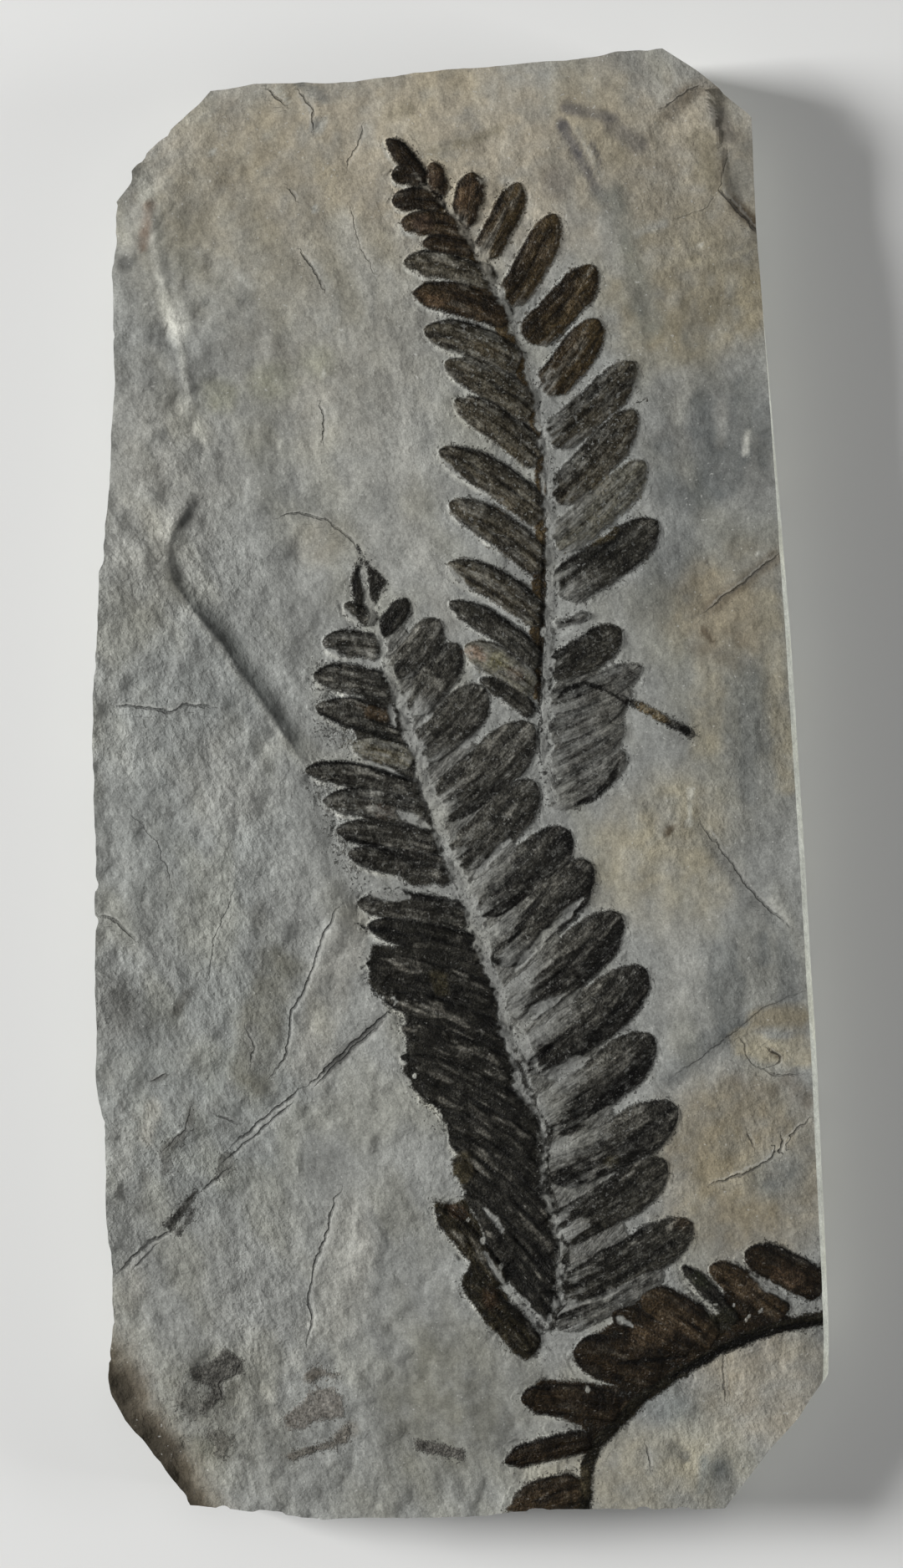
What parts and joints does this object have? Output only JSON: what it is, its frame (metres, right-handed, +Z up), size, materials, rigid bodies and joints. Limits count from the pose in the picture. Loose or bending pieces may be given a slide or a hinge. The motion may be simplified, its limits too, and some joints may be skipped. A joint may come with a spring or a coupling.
{
  "type": "fossil fern plate",
  "caption": "Flat trimmed shale slab with cut corners, its split face carrying pressed fern fronds in dark low relief; lies face up on a flat underside.",
  "frame": {"origin": "centre of the box around the slab, on the flat underside that it rests on", "axes": "+Z up out of the split face with the fern, +Y along the slab towards the thin ends of the fronds, +X to the sawn side"},
  "size_m": [0.0808, 0.1604, 0.0096],
  "materials": {
    "shale": "matte",
    "coal_film": "satin"
  },
  "bodies": {
    "root": {"fossil_slab": "shale"}
  },
  "joints": []
}
